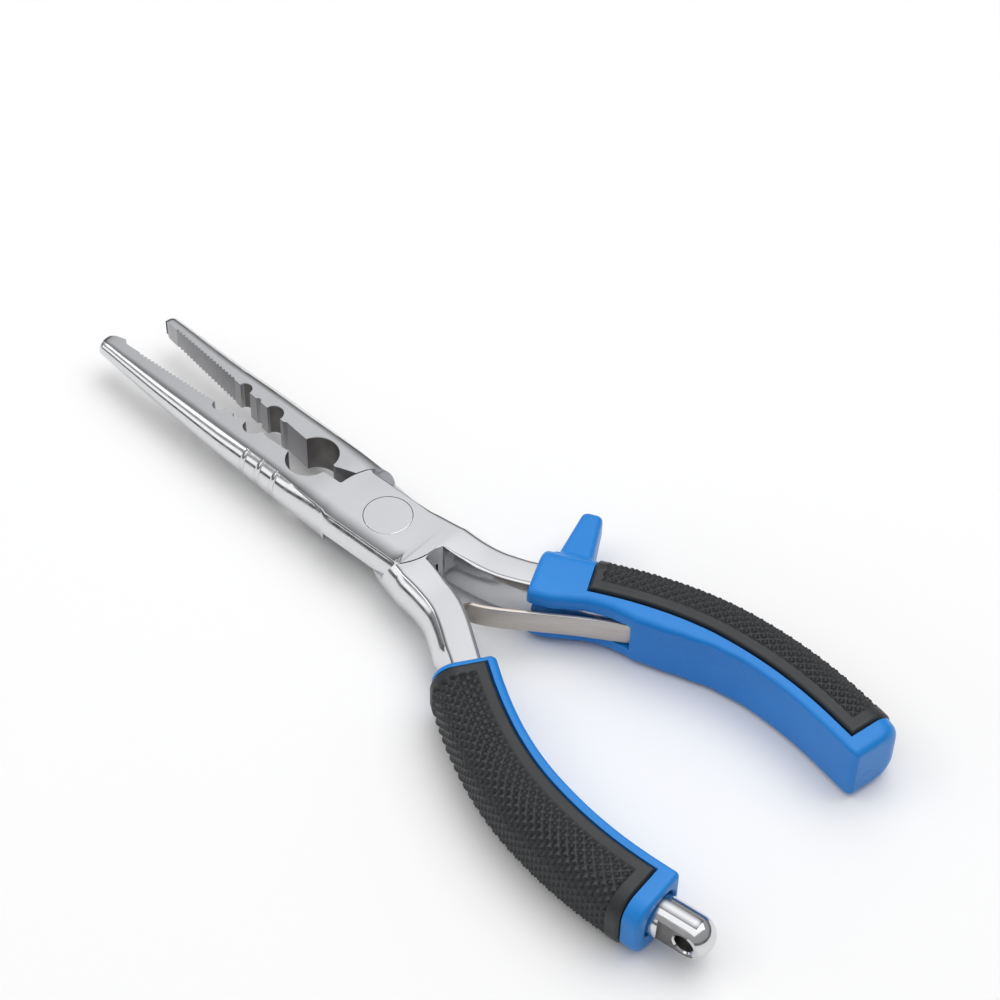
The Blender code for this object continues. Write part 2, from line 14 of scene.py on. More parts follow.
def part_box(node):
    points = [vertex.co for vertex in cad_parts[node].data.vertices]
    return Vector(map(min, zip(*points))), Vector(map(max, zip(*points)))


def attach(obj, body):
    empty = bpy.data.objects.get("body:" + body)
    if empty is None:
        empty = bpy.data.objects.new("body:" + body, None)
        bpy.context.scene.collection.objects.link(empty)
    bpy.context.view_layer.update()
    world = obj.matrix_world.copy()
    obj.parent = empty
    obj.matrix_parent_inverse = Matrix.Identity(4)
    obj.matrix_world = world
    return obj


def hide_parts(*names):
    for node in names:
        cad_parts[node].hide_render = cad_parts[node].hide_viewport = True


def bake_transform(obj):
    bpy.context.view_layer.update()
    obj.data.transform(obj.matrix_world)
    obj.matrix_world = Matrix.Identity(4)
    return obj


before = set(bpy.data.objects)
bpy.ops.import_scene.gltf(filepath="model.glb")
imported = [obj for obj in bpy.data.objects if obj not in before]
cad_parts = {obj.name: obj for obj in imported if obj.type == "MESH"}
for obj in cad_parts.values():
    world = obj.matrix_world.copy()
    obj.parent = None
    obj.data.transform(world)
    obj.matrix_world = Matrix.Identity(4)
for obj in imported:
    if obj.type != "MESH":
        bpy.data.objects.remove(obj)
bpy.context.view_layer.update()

MM = 0.001
OPEN_HALF = 3.9            # each lever's turn from closed, in degrees
HALF_THICK = 5.5           # half of the thickness at the pivot
CHEEK_R = 14.2
LAP_CUT_R = CHEEK_R + 0.3
FLANK_OUT = 8.5
FLANK_IN = 7.3
CLOSING = -0.15            # the jaws' inner faces, from the closing line

JAW_TIP_X = -89.4
TOOTH_X = -84.9
PLAIN_TIP_X = -83.9
TAPER_START_X = -17.0
JAW_TIP_HALF = 2.45
JAW_TIP_AT = -88.0         # where the jaws have that half thickness
JAW_WIDTHS = {             # (x, width of the jaw's flat top from the closing line)
    "a": [(-89.4, 2.9), (-84.0, 3.4), (-76.0, 4.0), (-68.0, 4.6), (-60.0, 5.05), (-52.0, 5.5), (-44.0, 5.9),
          (-36.0, 6.25), (-30.0, 6.6), (-25.0, 7.0), (-20.0, 7.5), (-14.0, 7.95), (-9.0, 8.25), (0.0, 8.5)],
    "b": [(-84.0, 2.1), (-76.0, 2.65), (-68.0, 3.1), (-60.0, 3.65), (-52.0, 4.5), (-44.0, 5.3), (-36.0, 5.9),
          (-30.0, 6.5), (-25.0, 7.0), (-20.0, 7.5), (-14.0, 7.95), (-9.0, 8.25), (0.0, 8.5)],
}
WIDTH_SMOOTHING = (-3.0, -2.0, -1.0, 0.0, 1.0, 2.0, 3.0)    # x offsets averaged over the table's kinks
BULGE_RATIO = 0.57         # how far the half-round sides stand out, from their half height
BULGE_MAX = 2.4
FLANK_IN_REAR = 8.4        # where the tang-side flank ends, 15 mm behind the pivot
FLANK_BULGE = 1.7
FLANK_ROLL = 4.2           # width and drop of the rolled shoulder at the joint
FLANK_DROP = 0.6
TANG_ROLL = 0.9
TANG_DROP = 0.2
TANG_BULGE_END = {"a": 19.3, "b": 28.5}     # where the tang's half-round side has died out
WIRE_HOLE = (-24.9, 5.3)   # x and radius of the holes that both jaws share
WIRE_HOLE_BACK = 0.7       # its centre lies this far past the closing line
PIPE_NOTCH = (-41.7, 2.45)
FINE_NOTCH = (-47.4, 0.8)
SHOT_NOTCH = (-52.5, 1.8)
SERRATION_START = -56.5
SERRATION_END = -80.5
SERRATION_PITCH = 1.2
SERRATION_DEPTH = 0.45
GROOVES = (-37.5, -32.6, -27.7)

RIVET_R = 5.5
RIVET_SHANK_R = 4.2
RIVET_HEAD_T = 2.0
TANG_WIDTH = 7.0
TANG_HALF = 5.2
TANG_PATH = [(14.9, 5.0), (21.0, 5.1), (27.0, 6.0), (32.0, 7.9), (37.0, 10.4), (44.0, 14.0),
             (52.0, 18.0), (61.0, 21.6), (71.0, 24.4), (82.0, 25.8), (93.0, 25.9), (104.0, 24.6)]
GRIP_PATH = [(34.2, 10.8), (39.0, 13.0), (44.0, 15.5), (50.0, 18.4), (57.0, 21.3), (65.0, 23.9),
             (74.0, 25.8), (84.0, 26.6), (94.0, 26.4), (104.0, 25.2), (118.0, 22.4)]
GRIP_STEPS = 240
GRIP_HALF = 7.4
GRIP_INNER = 7.5
GRIP_OUTER = {"a": 6.1, "b": 6.6}
SWELL = [(0.0, 1.3), (5.0, 1.4), (9.0, 0.7), (13.0, 0.1), (18.0, 0.3), (22.0, 1.0), (25.0, 1.8),
         (32.0, 1.9), (38.0, 1.4), (46.0, 0.5), (54.0, 0.0), (95.0, 0.0)]
PAD_PROUD = 0.8
PAD_THICK = 1.7
PAD_EDGE = {"a": 4.9, "b": 5.2}
PAD_CORNER = 6.2
COLLAR_START = {"a": 0.0, "b": 9.2}
PAD_START = {"a": 12.4, "b": 11.0}
PAD_END = {"a": 82.6, "b": 77.4}
SLEEVE_END = {"a": 87.5, "b": 81.6}
END_ROUND = {"a": 2.6, "b": 1.0}         # radius of the edge at the sleeve's rear end
END_CORNER = 5.0           # length over which grip A's closed end comes in on its outer side
END_CORNER_SHARE = 0.6
SPIKE_BASE = (38.0, 18.6)
SPIKE_TIP = (31.4, 33.2)

STUD_R = 4.6
STUD_FLAT = 3.3
STUD_HOLE_R = 2.2
STUD_PATH = [(104.0, 24.6), (111.0, 22.6), (124.4, 19.4)]

SPRING_PIN = (58.9, 15.6)
SPRING_PATH = [(0.7, -1.0), (-3.9, -3.9), (-10.9, -8.3), (-17.4, -12.8), (-23.4, -17.0),
               (-27.9, -19.7), (-31.6, -21.2)]      # from the pin
SPRING_T = 0.9
SPRING_HALF = 3.0
SLOT_HALF = 3.7
SPRING_SLOT = [(30.0, 5.5), (30.0, -4.0), (58.5, 2.0), (57.1, 10.4), (57.9, 11.7), (61.2, 13.8),
               (61.5, 16.0), (60.6, 18.2), (55.5, 17.2), (48.0, 13.6), (39.0, 9.2)]

KNURL_PERIOD = 2.4         # along the grip and around it
KNURL_SAMPLES = 8          # mesh steps in one period
KNURL_HEIGHT = 0.85
KNURL_FLOOR = -0.9
BORDER_LEVEL = -0.1         # of the smooth border, below the tips of the knurls
BORDER_LONG = 2.8          # smooth border along the pad's free edges
BORDER_FRONT = 2.2
BORDER_REAR = 3.0

VIEW_AZIMUTH = 44.52       # of the camera, in degrees, with 0 at -Y
VIEW_ELEVATION = 47.77
VIEW_ROLL = 1.33
VIEW_DISTANCE = 0.592      # to the top of the pivot, in metres
FOCAL = 2.6946             # in image widths
FRAMING = (-0.112, -0.015)     # the pivot's place from the image's centre, in widths

LIGHTS = [                 # name, azimuth, elevation, distance, size and power
    ("key", 160.0, 64.0, 1.5, (1.3, 1.3), 7.5),
    ("overhead", 90.0, 88.0, 1.6, (2.2, 2.2), 13.5),
    ("back_left", -140.0, 46.0, 1.3, (0.9, 0.8), 2.0),
    ("front_left", -46.0, 46.0, 1.3, (1.0, 0.34), 2.0),
    ("low_left", -30.0, 19.0, 1.3, (1.3, 0.36), 1.4),
]
ROOM = [(0.0, 0.1), (0.14, 0.12), (0.28, 0.38), (0.7, 0.4), (1.0, 0.4)]    # (height, grey) round the sky

BODY = {"a": "spike_lever", "b": "stud_lever"}

PLATED, SATIN, GROUND, SHADED_WALL = 0, 1, 2, 3     # a lever's materials, in the order of its slots
SATIN_UP = 0.945           # faces that look up or down at least this much are satin
GROUND_UP = 0.94           # faces that look up or down more than this are never ground
HOLES_FROM = -56.0         # the notches and the wire hole lie between these two x
HOLES_TO = -20.0


# ---------------------------------------------------------------- places and meshes

def lever_matrix(tag):
    """From a lever's closed frame in millimetres to the row frame in metres."""
    turn = Matrix.Rotation(math.radians(OPEN_HALF if tag == "a" else -OPEN_HALF), 4, "Z")
    over = Matrix.Rotation(math.pi if tag == "b" else 0.0, 4, "X")
    return Matrix.Translation((0.0, 0.0, HALF_THICK * MM)) @ turn @ over @ Matrix.Scale(MM, 4)


def lerp(a, b, t):
    return a + (b - a) * t


def smoothstep(t):
    t = min(1.0, max(0.0, t))
    return t * t * (3 - 2 * t)


def smooth_path(points, count):
    """Catmull-Rom curve through the points: count + 1 places with headings and distances."""
    padded = [2 * Vector(points[0]) - Vector(points[1])]
    padded += [Vector(p) for p in points]
    padded.append(2 * Vector(points[-1]) - Vector(points[-2]))

    def place(t):
        index = min(int(t), len(points) - 2)
        f = t - index
        p0, p1, p2, p3 = padded[index:index + 4]
        return 0.5 * (2 * p1 + (p2 - p0) * f + (2 * p0 - 5 * p1 + 4 * p2 - p3) * f * f
                      + (3 * p1 - p0 - 3 * p2 + p3) * f * f * f)

    fine = [place(i * (len(points) - 1) / 1200) for i in range(1201)]
    length = [0.0]
    for a, b in zip(fine, fine[1:]):
        length.append(length[-1] + (b - a).length)
    out = []
    j = 0
    for i in range(count + 1):
        want = length[-1] * i / count
        while j < len(fine) - 2 and length[j + 1] < want:
            j += 1
        t = (want - length[j]) / (length[j + 1] - length[j])
        low, high = max(j - 4, 0), min(j + 5, len(fine) - 1)
        ahead = fine[high] - fine[low]
        out.append((fine[j].lerp(fine[j + 1], t), math.atan2(ahead.y, ahead.x), want))
    return out


def path_at(path, distance):
    for (p, h, s), (q, k, e) in zip(path, path[1:]):
        if distance <= e + 1e-9:
            t = (distance - s) / (e - s)
            return p.lerp(q, t), lerp(h, k, t)
    return path[-1][0], path[-1][1]


def place_ring(ring, place, heading):
    """A cross-section's (across, up) points, standing across the heading."""
    across = Vector((-math.sin(heading), math.cos(heading)))
    return [Vector((place.x + across.x * u, place.y + across.y * u, z)) for u, z in ring]


def filleted(corners, steps):
    """The ring through (across, up, fillet) corners, each rounded with steps + 1 points."""
    ring = []
    count = len(corners)
    for i, (u, z, fillet) in enumerate(corners):
        here = Vector((u, z))
        before = Vector(corners[i - 1][:2]) - here
        after = Vector(corners[(i + 1) % count][:2]) - here
        start = here + before.normalized() * min(fillet, before.length * 0.45)
        end = here + after.normalized() * min(fillet, after.length * 0.45)
        for k in range(steps + 1):
            t = k / steps
            spot = start * (1 - t) ** 2 + here * (2 * t * (1 - t)) + end * t * t
            ring.append((spot.x, spot.y))
    return ring


def arc(cu, cz, radius, start, steps, sweep=90.0):
    out = []
    for i in range(steps + 1):
        angle = math.radians(start + sweep * i / steps)
        out.append((cu + radius * math.cos(angle), cz + radius * math.sin(angle)))
    return out


def circle(x, y, radius, count):
    return arc(x, y, radius, 0.0, count, 360.0)[:-1]


def loft(rings, caps=(True, True)):
    bm = bmesh.new()
    rows = [[bm.verts.new(p) for p in ring] for ring in rings]
    for row, after in zip(rows, rows[1:]):
        for i in range(len(row)):
            j = (i + 1) % len(row)
            bm.faces.new((row[i], row[j], after[j], after[i]))
    if caps[0]:
        bm.faces.new(rows[0])
    if caps[1]:
        bm.faces.new(list(reversed(rows[-1])))
    return bm, rows


def prism(outline, z0, z1):
    return loft([[Vector((x, y, z)) for x, y in outline] for z in (z0, z1)])[0]


def to_object(name, bm, tag):
    bmesh.ops.recalc_face_normals(bm, faces=bm.faces)
    mesh = bpy.data.meshes.new(name)
    bm.to_mesh(mesh)
    bm.free()
    mesh.transform(lever_matrix(tag))
    item = bpy.data.objects.new(name, mesh)
    bpy.context.scene.collection.objects.link(item)
    return item


def carve(item, tools):
    """Applies (operation, tool) Booleans to the item and removes the tools."""
    for operation, tool in tools:
        step = item.modifiers.new(operation, "BOOLEAN")
        step.operation = operation
        step.solver = "EXACT"
        step.object = tool
    bpy.context.view_layer.update()
    carved = item.evaluated_get(bpy.context.evaluated_depsgraph_get())
    mesh = bpy.data.meshes.new_from_object(carved)
    item.modifiers.clear()
    item.data = mesh
    for _, tool in tools:
        bpy.data.objects.remove(tool, do_unlink=True)


def finish_mesh(item, angle, *surfaces):
    item.data.materials.clear()
    for surface in surfaces:
        item.data.materials.append(surface)
    item.data.shade_smooth()
    item.data.set_sharp_from_angle(angle=math.radians(angle))


def stand_for(item, body, node):
    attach(item, body)
    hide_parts(node)


# ---------------------------------------------------------------- materials

def new_material(name, color, roughness, metallic):
    made = bpy.data.materials.new(name)
    made.use_nodes = True
    shader = made.node_tree.nodes["Principled BSDF"]
    shader.inputs["Base Color"].default_value = (*color, 1.0)
    shader.inputs["Roughness"].default_value = roughness
    shader.inputs["Metallic"].default_value = metallic
    return made, made.node_tree, shader


def object_noise(tree, scale, detail, stretch=(1.0, 1.0, 1.0)):
    """Noise in the object's own coordinates, scale in features per metre."""
    place = tree.nodes.new("ShaderNodeTexCoord")
    mapping = tree.nodes.new("ShaderNodeMapping")
    mapping.inputs["Scale"].default_value = stretch
    noise = tree.nodes.new("ShaderNodeTexNoise")
    noise.inputs["Scale"].default_value = scale
    noise.inputs["Detail"].default_value = detail
    tree.links.new(place.outputs["Object"], mapping.inputs["Vector"])
    tree.links.new(mapping.outputs["Vector"], noise.inputs["Vector"])
    return noise.outputs["Fac"]


def spread(tree, value, low, high, start=0.3, end=0.7):
    """A noise value mapped to the range low to high."""
    node = tree.nodes.new("ShaderNodeMapRange")
    node.inputs["From Min"].default_value = start
    node.inputs["From Max"].default_value = end
    node.inputs["To Min"].default_value = low
    node.inputs["To Max"].default_value = high
    tree.links.new(value, node.inputs["Value"])
    return node.outputs["Result"]


def add_bump(tree, shader, value, strength, depth):
    bump = tree.nodes.new("ShaderNodeBump")
    bump.inputs["Strength"].default_value = strength
    bump.inputs["Distance"].default_value = depth
    tree.links.new(value, bump.inputs["Height"])
    tree.links.new(bump.outputs["Normal"], shader.inputs["Normal"])


def mix_colors(tree, value, dark, light):
    ramp = tree.nodes.new("ShaderNodeValToRGB")
    ramp.color_ramp.elements[0].position = 0.3
    ramp.color_ramp.elements[0].color = (*dark, 1.0)
    ramp.color_ramp.elements[1].position = 0.7
    ramp.color_ramp.elements[1].color = (*light, 1.0)
    tree.links.new(value, ramp.inputs["Fac"])
    return ramp.outputs["Color"]


def painted_shoulder_shade(tree, color):
    """Painted shade: the rolled shoulder beside a flat is painted darker, the more so the more it tilts."""
    geometry = tree.nodes.new("ShaderNodeNewGeometry")
    split = tree.nodes.new("ShaderNodeSeparateXYZ")
    size = tree.nodes.new("ShaderNodeMath")
    size.operation = "ABSOLUTE"
    tree.links.new(geometry.outputs["Normal"], split.inputs["Vector"])
    tree.links.new(split.outputs["Z"], size.inputs[0])
    tilt = spread(tree, size.outputs["Value"], 1.0, 0.0, 0.958, 0.9982)
    mix = tree.nodes.new("ShaderNodeMix")
    mix.data_type = "RGBA"
    # the painted shade colour for the most tilted faces
    mix.inputs["B"].default_value = (0.15, 0.15, 0.155, 1.0)
    tree.links.new(tilt, mix.inputs["Factor"])
    tree.links.new(color, mix.inputs["A"])
    return mix.outputs["Result"]


def satin_steel():
    """Ground flats: fine grain, even grey, with painted shade on their rolled shoulders."""
    made, tree, shader = new_material("satin_steel", (0.47, 0.477, 0.492), 0.35, 1.0)
    grain = object_noise(tree, 900.0, 6.0, (1.0, 2.6, 1.0))
    blotch = object_noise(tree, 70.0, 3.0)
    tree.links.new(spread(tree, blotch, 0.31, 0.38), shader.inputs["Roughness"])
    flat = mix_colors(tree, blotch, (0.41, 0.416, 0.43), (0.45, 0.457, 0.47))
    # painted shade on the tilted shoulder faces
    tree.links.new(painted_shoulder_shade(tree, flat), shader.inputs["Base Color"])
    add_bump(tree, shader, grain, 0.12, 0.00002)
    return made


def polished_steel():
    """Plated sides: nearly a mirror, with faint waves and pits."""
    made, tree, shader = new_material("polished_steel", (0.68, 0.685, 0.70), 0.12, 1.0)
    wave = object_noise(tree, 120.0, 2.0)
    haze = object_noise(tree, 500.0, 5.0)
    tree.links.new(spread(tree, haze, 0.08, 0.2), shader.inputs["Roughness"])
    add_bump(tree, shader, wave, 0.25, 0.00006)
    return made


def ground_steel():
    """Machined inner faces: duller and darker than the flats."""
    made, tree, shader = new_material("ground_steel", (0.46, 0.46, 0.47), 0.5, 1.0)
    lines = object_noise(tree, 1100.0, 4.0, (1.0, 1.0, 0.15))
    patch = object_noise(tree, 160.0, 3.0)
    tree.links.new(mix_colors(tree, patch, (0.41, 0.41, 0.42), (0.51, 0.51, 0.52)),
                   shader.inputs["Base Color"])
    tree.links.new(spread(tree, patch, 0.44, 0.56), shader.inputs["Roughness"])
    add_bump(tree, shader, lines, 0.2, 0.00003)
    return made


def hole_steel_painted_shade():
    """The walls of the notches and holes, painted dark as shade in the hollows."""
    made, tree, shader = new_material("hole_steel_painted_shade", (0.2, 0.19, 0.185), 0.42, 1.0)
    patch = object_noise(tree, 220.0, 4.0)
    tree.links.new(mix_colors(tree, patch, (0.15, 0.145, 0.14), (0.26, 0.25, 0.245)),
                   shader.inputs["Base Color"])
    tree.links.new(spread(tree, patch, 0.36, 0.5), shader.inputs["Roughness"])
    add_bump(tree, shader, patch, 0.2, 0.00004)
    return made


def spring_steel():
    made, tree, shader = new_material("spring_steel_look", (0.50, 0.46, 0.42), 0.38, 1.0)
    streak = object_noise(tree, 400.0, 4.0, (0.3, 0.3, 3.0))
    tree.links.new(mix_colors(tree, streak, (0.47, 0.43, 0.39), (0.56, 0.52, 0.48)),
                   shader.inputs["Base Color"])
    tree.links.new(spread(tree, streak, 0.32, 0.46), shader.inputs["Roughness"])
    add_bump(tree, shader, streak, 0.15, 0.00002)
    return made


def blue_plastic():
    made, tree, shader = new_material("blue_plastic_look", (0.012, 0.21, 0.62), 0.34, 0.0)
    peel = object_noise(tree, 350.0, 3.0)
    cloud = object_noise(tree, 60.0, 2.0)
    tree.links.new(mix_colors(tree, cloud, (0.011, 0.200, 0.60), (0.013, 0.220, 0.64)),
                   shader.inputs["Base Color"])
    tree.links.new(spread(tree, cloud, 0.27, 0.36), shader.inputs["Roughness"])
    add_bump(tree, shader, peel, 0.08, 0.00003)
    shader.inputs["Specular IOR Level"].default_value = 0.3
    return made


def black_rubber():
    made, tree, shader = new_material("black_rubber_look", (0.013, 0.0145, 0.017), 0.46, 0.0)
    dust = object_noise(tree, 260.0, 6.0)
    grain = object_noise(tree, 2200.0, 4.0)
    tree.links.new(mix_colors(tree, dust, (0.009, 0.0105, 0.013), (0.016, 0.0175, 0.020)),
                   shader.inputs["Base Color"])
    tree.links.new(spread(tree, dust, 0.4, 0.54), shader.inputs["Roughness"])
    add_bump(tree, shader, grain, 0.3, 0.00003)
    shader.inputs["Specular IOR Level"].default_value = 0.5
    return made


# ---------------------------------------------------------------- levers

def table_at(table, x):
    """Linear interpolation in (position, value) pairs."""
    for (x0, v0), (x1, v1) in zip(table, table[1:]):
        if x <= x1:
            return lerp(v0, v1, max(0.0, (x - x0) / (x1 - x0)))
    return table[-1][1]


def jaw_width(tag, x):
    """From the closing line to the edge of the jaw's flat top, with the table's kinks smoothed."""
    return sum(table_at(JAW_WIDTHS[tag], x + d) for d in WIDTH_SMOOTHING) / len(WIDTH_SMOOTHING)


def jaw_half(x):
    return lerp(HALF_THICK, JAW_TIP_HALF, max(0.0, (TAPER_START_X - x) / (TAPER_START_X - JAW_TIP_AT)))


def jaw_bulge(x):
    """How far the half-round outer side stands out past the flat top."""
    front = min(BULGE_MAX, BULGE_RATIO * jaw_half(x))
    return lerp(front, FLANK_BULGE, smoothstep((x + 28.0) / 16.0))


def side(bulge, roll=0.0, drop=0.0, crisp=0.1):
    """One side of the bar: how far it stands out, and the shoulder that leads to it."""
    return bulge, roll, drop, crisp


CRISP = side(0.0)


def half_side(edge, half, shape):
    """(across, up) points from the end of the flat top to the mid-plane, edge being the widest."""
    bulge, roll, drop, crisp = shape
    width = edge - bulge
    points = [(width - roll + roll * t / 6, half - drop * (t / 6) ** 2) for t in range(6)]
    shoulder = half - drop
    points.append((width - crisp * 0.3, shoulder - crisp * 0.1))
    top = shoulder - crisp
    spread_angle = 2 * math.atan2(max(bulge, 1e-4), top)
    radius = top / math.sin(spread_angle)
    for i in range(13):
        angle = spread_angle * (1 - i / 12)
        points.append((edge - radius * (1 - math.cos(angle)), radius * math.sin(angle)))
    return points


def bar_section(low, high, half, low_side, high_side):
    """Ring of a bar from low to high across."""
    upper = half_side(high, half, high_side)
    ring = upper + [(u, -z) for u, z in reversed(upper[:-1])]
    lower = [(-u, z) for u, z in half_side(-low, half, low_side)]
    return ring + [(u, -z) for u, z in lower] + list(reversed(lower[:-1]))


def jaw_stations(tag):
    """(x, low, high, half scale) from the tip to the joint."""
    def outer(x):
        return -jaw_width(tag, x) - jaw_bulge(x)

    if tag == "a":
        tip = [(JAW_TIP_X, outer(JAW_TIP_AT) + 0.75, -1.5, 0.74),
               (JAW_TIP_X + 0.2, outer(JAW_TIP_AT) + 0.4, -1.15, 0.88),
               (JAW_TIP_X + 0.6, outer(-87.7) + 0.12, -0.7, 0.97), (JAW_TIP_AT, outer(-87.2), 0.0, 1.0),
               (-87.0, outer(-87.0), 0.35, 1.0), (TOOTH_X - 0.5, outer(-85.4), 0.75, 1.0),
               (TOOTH_X, outer(TOOTH_X), 0.72, 1.0), (TOOTH_X + 0.25, outer(-84.6), 0.45, 1.0),
               (TOOTH_X + 0.8, outer(-84.1), CLOSING, 1.0)]
        start = -83.0
    else:
        tip = [(PLAIN_TIP_X, outer(-83.9) + 0.75, CLOSING - 0.6, 0.74),
               (PLAIN_TIP_X + 0.2, outer(-83.7) + 0.4, CLOSING - 0.35, 0.88),
               (PLAIN_TIP_X + 0.6, outer(-83.5) + 0.1, CLOSING - 0.1, 0.97),
               (PLAIN_TIP_X + 1.2, outer(-82.7), CLOSING, 1.0)]
        start = -82.0
    return tip + [(x, outer(x), CLOSING, 1.0) for x in stations_between(start, -14.6, 1.7)]


def outer_side(x, bulge):
    """The jaw's and joint's outer side, under a rolled shoulder that gets wider towards the joint."""
    grow = smoothstep((x + 32.0) / 26.0)
    fine = smoothstep((x + 92.0) / 30.0)
    roll = lerp(lerp(1.0, 1.9, fine), FLANK_ROLL, grow)
    return side(bulge, roll, lerp(lerp(0.16, 0.3, fine), FLANK_DROP, grow))


def flank_in(x):
    """The tang-side flank of the joint, which leans out towards the tang."""
    return lerp(FLANK_IN, FLANK_IN_REAR, (x - 6.0) / 9.0)


def across(x, low, high, half, low_side, high_side):
    """A ring that stands straight across the lever's length."""
    return place_ring(bar_section(low, high, half, low_side, high_side), Vector((x, 0.0)), 0.0)


def joint_rings(tag):
    """The cheek's front shoulder, its flanks and its rear shoulder."""
    rings = []
    for i in range(9):
        angle = math.radians(lerp(1.0, 30.9, i / 8))
        x = -CHEEK_R * math.cos(angle)
        rings.append(across(x, -jaw_width(tag, x) - FLANK_BULGE, CHEEK_R * math.sin(angle), HALF_THICK,
                            outer_side(x, FLANK_BULGE), CRISP))
    for x in (-11.0, -9.0, -7.0, -4.5, -2.0, 0.0, 2.0, 4.5, 6.0, 8.0, 9.8):
        out = smoothstep((x - 1.0) / 7.0)
        inner = side(0.2 + (BULGE_MAX - 0.2) * out, 0.3 + 0.6 * out, 0.1 + 0.1 * out)
        rings.append(across(x, -FLANK_OUT - FLANK_BULGE, flank_in(max(x, 6.0)) + BULGE_MAX * out,
                            HALF_THICK, outer_side(x, FLANK_BULGE), inner))
    for i in range(14):
        x = lerp(10.1, CHEEK_R - 0.002, (i / 13) ** 0.6)
        low = math.sqrt(CHEEK_R ** 2 - x ** 2)
        left = max(0.0, min(1.0, (low - FLANK_OUT) / FLANK_BULGE))
        fading = side(FLANK_BULGE * left, FLANK_ROLL * left, FLANK_DROP * left)
        rings.append(across(x, -low, flank_in(x) + BULGE_MAX, HALF_THICK, fading,
                            side(BULGE_MAX, TANG_ROLL, TANG_DROP)))
    return rings


def tang_rings(tag):
    """The tang, which loses its half-round outer side inside the grip."""
    rings = []
    for place, heading, distance in smooth_path(TANG_PATH, 64):
        half = lerp(HALF_THICK, TANG_HALF, min(1.0, distance / 8.0))
        grow = smoothstep(distance / 8.0)
        left = smoothstep((TANG_BULGE_END[tag] - distance) / 5.0)
        outer = side(lerp(0.25, BULGE_MAX, left), TANG_ROLL, TANG_DROP)
        inner = side(0.25 * grow, lerp(0.3, 1.0, grow), lerp(0.1, 0.35, grow))
        ring = bar_section(-TANG_WIDTH / 2, TANG_WIDTH / 2 + BULGE_MAX * left, half, inner, outer)
        rings.append(place_ring(ring, place, heading))
    return rings


def lever_rings(tag):
    """The whole bar's cross-sections, from the jaw's tip to the tang's end."""
    rings = []
    for x, low, high, scale in jaw_stations(tag):
        rings.append(across(x, low, high, jaw_half(x) * scale, outer_side(x, jaw_bulge(x)), CRISP))
    return rings + joint_rings(tag) + tang_rings(tag)


def flared(x, radius, count, flare=0.12, back=0.0):
    """Cutter for a round hole on the closing line that widens at the jaw's faces."""
    half = jaw_half(x)
    rings = []
    for z, grow in ((-half - 1.0, flare + 1.0), (-half + flare, 0.0), (half - flare, 0.0),
                    (half + 1.0, flare + 1.0)):
        ring = []
        for px, py in circle(x, back, radius + grow, count):
            ring.append(Vector((px, py, z * jaw_half(px) / half)))
        rings.append(ring)
    return loft(rings)[0]


def serration_comb():
    outline = []
    x = SERRATION_START
    while x - SERRATION_PITCH > SERRATION_END:
        outline += [(x, CLOSING + 0.05), (x - SERRATION_PITCH * 0.5, CLOSING - SERRATION_DEPTH)]
        x -= SERRATION_PITCH
    return outline + [(x, CLOSING + 0.05), (x, 2.0), (SERRATION_START, 2.0)]


def turned(profile, count=96):
    """A solid turned about the pivot axis from (radius, height) pairs."""
    return loft([[Vector((x, y, z)) for x, y in circle(0.0, 0.0, r, count)] for r, z in profile])[0]


def groove_cutter(tag, x):
    """A shallow round-bottomed groove that follows the jaw's half-round side."""
    width, bulge, half = jaw_width(tag, x), jaw_bulge(x), jaw_half(x)
    rings = []
    for i in range(17):
        t = lerp(-1.15, 1.15, i / 16)
        out = width + bulge * (1 - t * t) + 0.3
        rings.append([Vector((px, py, t * half)) for px, py in circle(x, -out, 0.85, 24)])
    return loft(rings)[0]


def jaw_tools(tag):
    deep = HALF_THICK + 2.0
    shapes = [flared(*WIRE_HOLE, 72, back=WIRE_HOLE_BACK), flared(*PIPE_NOTCH, 40),
              flared(*FINE_NOTCH, 20, 0.08), flared(*SHOT_NOTCH, 32, 0.1),
              prism([(-40.0, 1.0), (-37.2, -0.65), (-26.5, -0.65), (-25.5, 1.0)], -deep, deep),
              prism(serration_comb(), -deep, deep),
              prism([(-19.6, 1.0), (-19.0, -0.1), (-13.6, -2.8), (-13.0, 1.0)], -deep, -0.2),
              prism(circle(0.0, 0.0, LAP_CUT_R, 144), -deep, 0.06)]
    seat = HALF_THICK - RIVET_HEAD_T - 0.3
    bore, rim = RIVET_SHANK_R + 0.2, RIVET_R + 0.09
    shapes.append(turned([(bore, -deep), (bore, seat), (rim, seat), (rim, deep)]))
    if tag == "a":
        shapes += [groove_cutter(tag, x) for x in GROOVES]
    return [("DIFFERENCE", to_object("tool", shape, tag)) for shape in shapes]


def stud_rings():
    path = smooth_path(STUD_PATH, 48)
    length = path[-1][2]
    rings = []
    for i in range(14):
        place, heading = path_at(path, lerp(0.0, length - STUD_R, i / 13))
        rings.append(place_ring(circle(0.0, 0.0, STUD_R, 64), place, heading))
    for i in range(1, 12):
        angle = math.radians(88.0 * i / 11)
        place, heading = path_at(path, length - STUD_R + STUD_R * math.sin(angle))
        rings.append(place_ring(circle(0.0, 0.0, STUD_R * math.cos(angle), 64), place, heading))
    return rings, path


